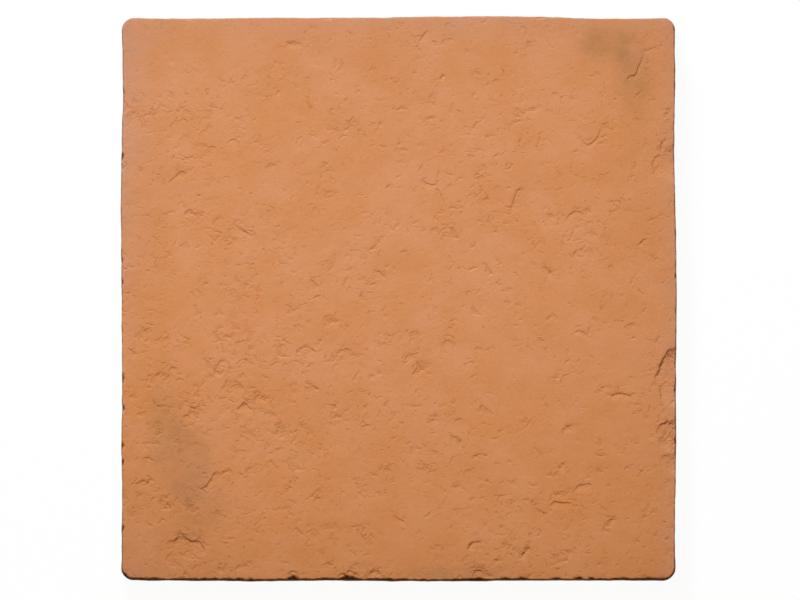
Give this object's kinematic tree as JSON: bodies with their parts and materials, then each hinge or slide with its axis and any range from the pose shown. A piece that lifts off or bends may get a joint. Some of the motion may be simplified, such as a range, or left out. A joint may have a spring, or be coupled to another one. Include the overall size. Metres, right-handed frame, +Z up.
{
  "type": "concrete paving slab",
  "caption": "Square cast concrete paving slab with rounded corners, softly worn edges and a weathered, pitted terracotta-coloured walking face, laid flat on a bed as paving.",
  "frame": {"origin": "middle of the bed face, on the ground under the slab", "axes": "+Z up, out of the walking face; +Y along the slab's slightly longer side, towards the edge that is at the top of the picture; +X towards the edge with the large flakes"},
  "size_m": [0.396, 0.4021, 0.038],
  "materials": {
    "tinted_concrete": "matte"
  },
  "bodies": {
    "root": {"paving_slab": "tinted_concrete"}
  },
  "joints": []
}
